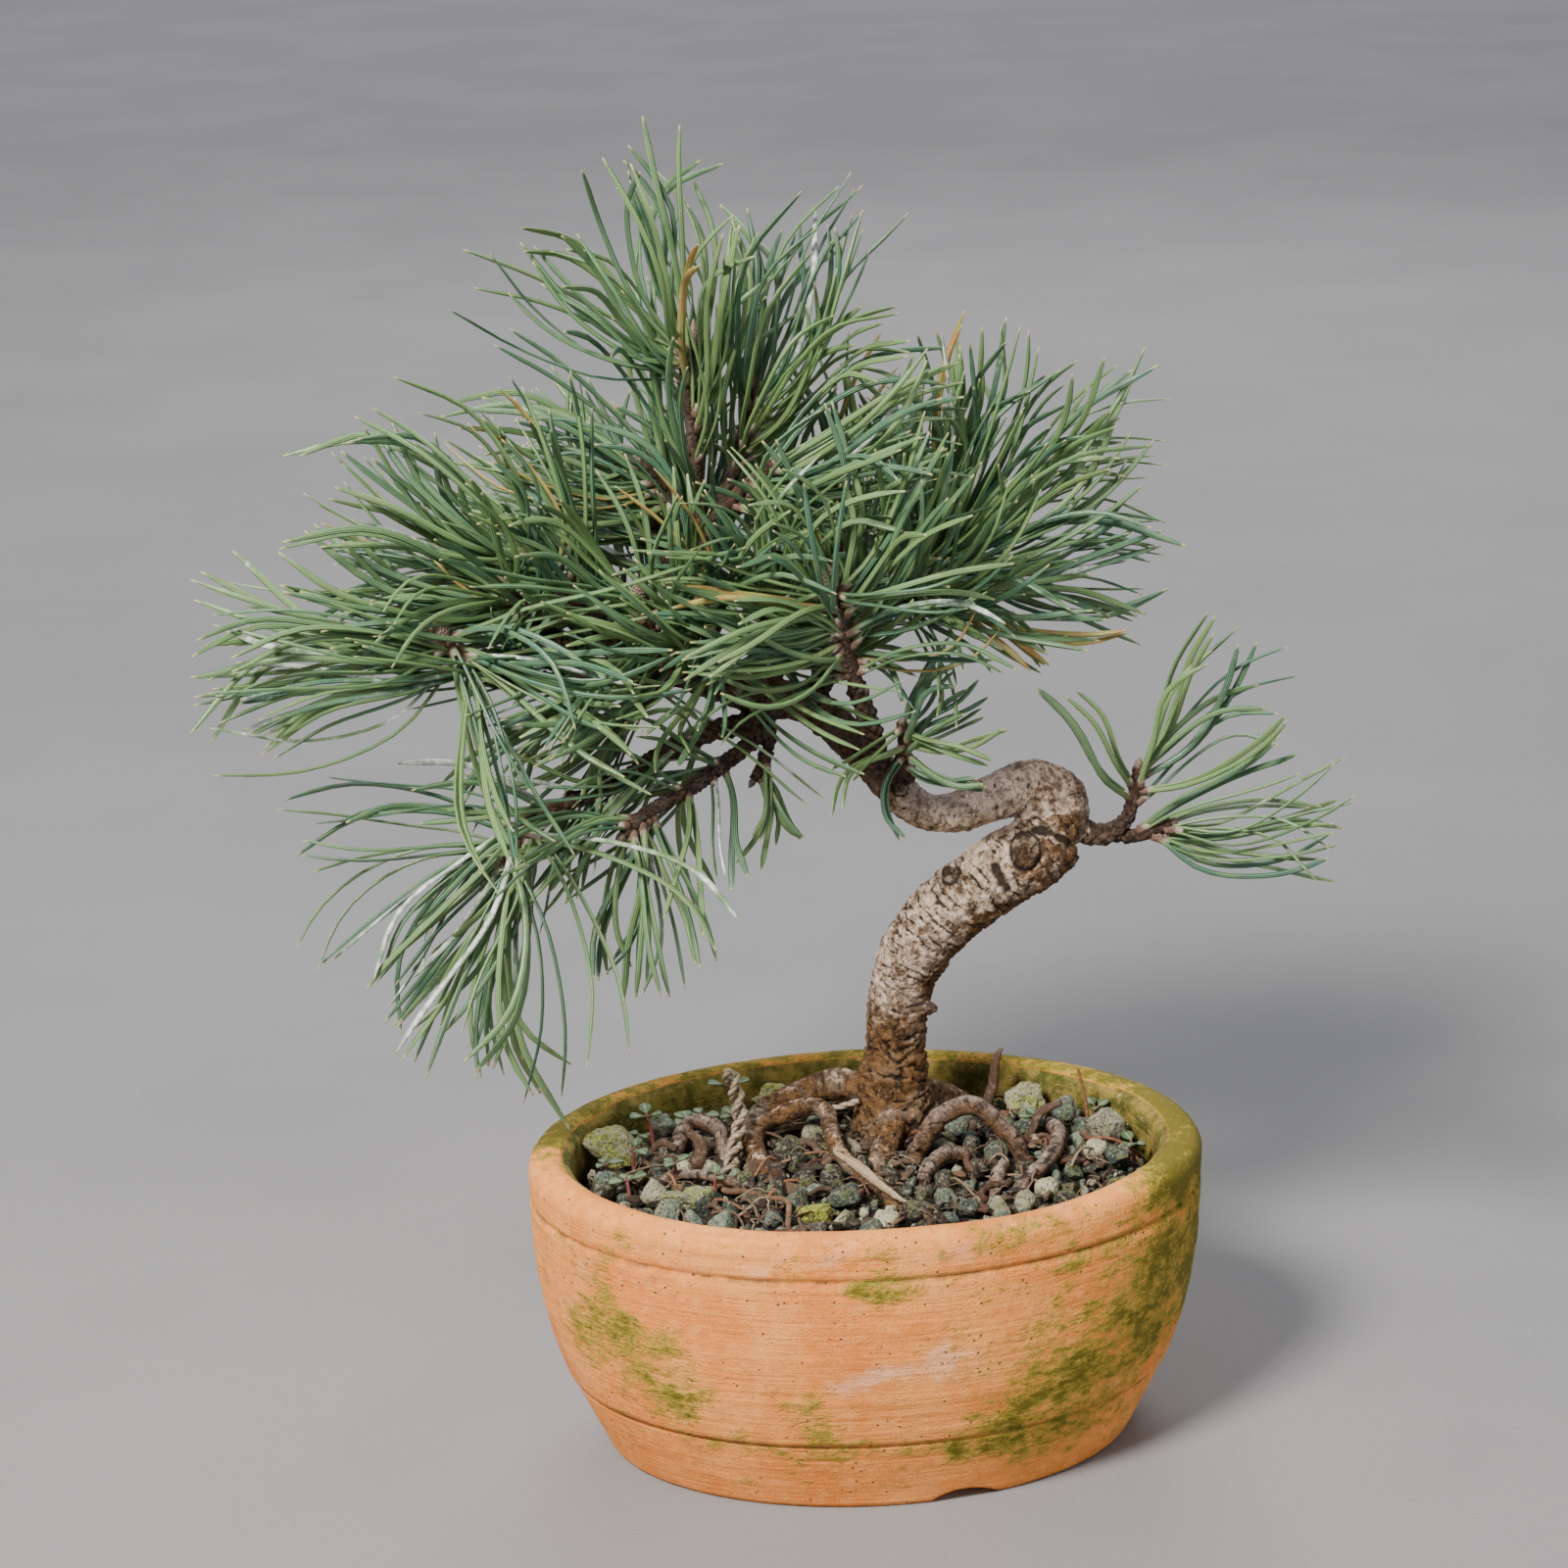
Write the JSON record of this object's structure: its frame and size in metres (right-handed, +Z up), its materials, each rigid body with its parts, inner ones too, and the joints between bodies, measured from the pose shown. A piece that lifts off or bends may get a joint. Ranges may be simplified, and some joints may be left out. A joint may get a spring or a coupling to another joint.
{
  "type": "pine bonsai in pot",
  "caption": "Small pine bonsai with a bent trunk, exposed roots and fans of long paired needles, growing in an oval unglazed terracotta pot.",
  "frame": {"origin": "middle of the pot's flat base", "axes": "+X along the pot's long axis, +Y to the back of the tree, +Z up"},
  "size_m": [0.296, 0.1706, 0.3376],
  "materials": {
    "terracotta": "matt unglazed terracotta, orange-pink, with green algae",
    "soil": "dark damp grit and humus",
    "screen": "black plastic mesh",
    "bark": "flaky grey-brown bark",
    "root": "weathered root bark",
    "needles": "waxy blue-green needles",
    "stone": "pale grey-green grit stones",
    "mossy_stone": "stones with yellow-green moss",
    "twine": "tan twisted twine",
    "seedling": "soft green seedling leaves",
    "dry_stalk": "dry brown plant litter"
  },
  "bodies": {
    "root": {"drain_screen_left": "screen", "drain_screen_right": "screen", "dry_stalk": "dry_stalk", "fallen_needle": "dry_stalk", "needles_apex": "needles", "needles_back_middle": "needles", "needles_back_right": "needles", "needles_centre": "needles", "needles_crown_left": "needles", "needles_crown_right": "needles", "needles_elbow": "needles", "needles_elbow_fork": "needles", "needles_far_left": "needles", "needles_front": "needles", "needles_front_low": "needles", "needles_hanging": "needles", "needles_inner_back": "needles", "needles_inner_left": "needles", "needles_left_back": "needles", "needles_left_front": "needles", "needles_left_middle": "needles", "needles_left_outer": "needles", "needles_left_upper": "needles", "needles_lower_left": "needles", "needles_right": "needles", "needles_right_front": "needles", "needles_trunk_front": "needles", "needles_under_left": "needles", "needles_under_twig": "needles", "needles_upper_right": "needles", "pot": "terracotta", "root_arch_right": "root", "root_crossing": "root", "root_fork": "root", "root_loop_left": "root", "root_low": "root", "root_thin_left": "root", "seedling_back": "seedling", "seedling_left": "seedling", "soil": "soil", "stone_back_left": "stone", "stone_dark_right": "stone", "stone_front_left": "stone", "stone_green_right": "stone", "stone_grey_right": "stone", "stone_mossy_back": "mossy_stone", "stone_mossy_front": "mossy_stone", "stone_pale_left": "stone", "stone_round_left": "stone", "stone_small_front": "stone", "stone_teal_back": "stone", "stone_yellow_right": "stone", "tie_strand": "twine", "tie_twist": "twine", "trunk": "bark"}
  },
  "joints": []
}
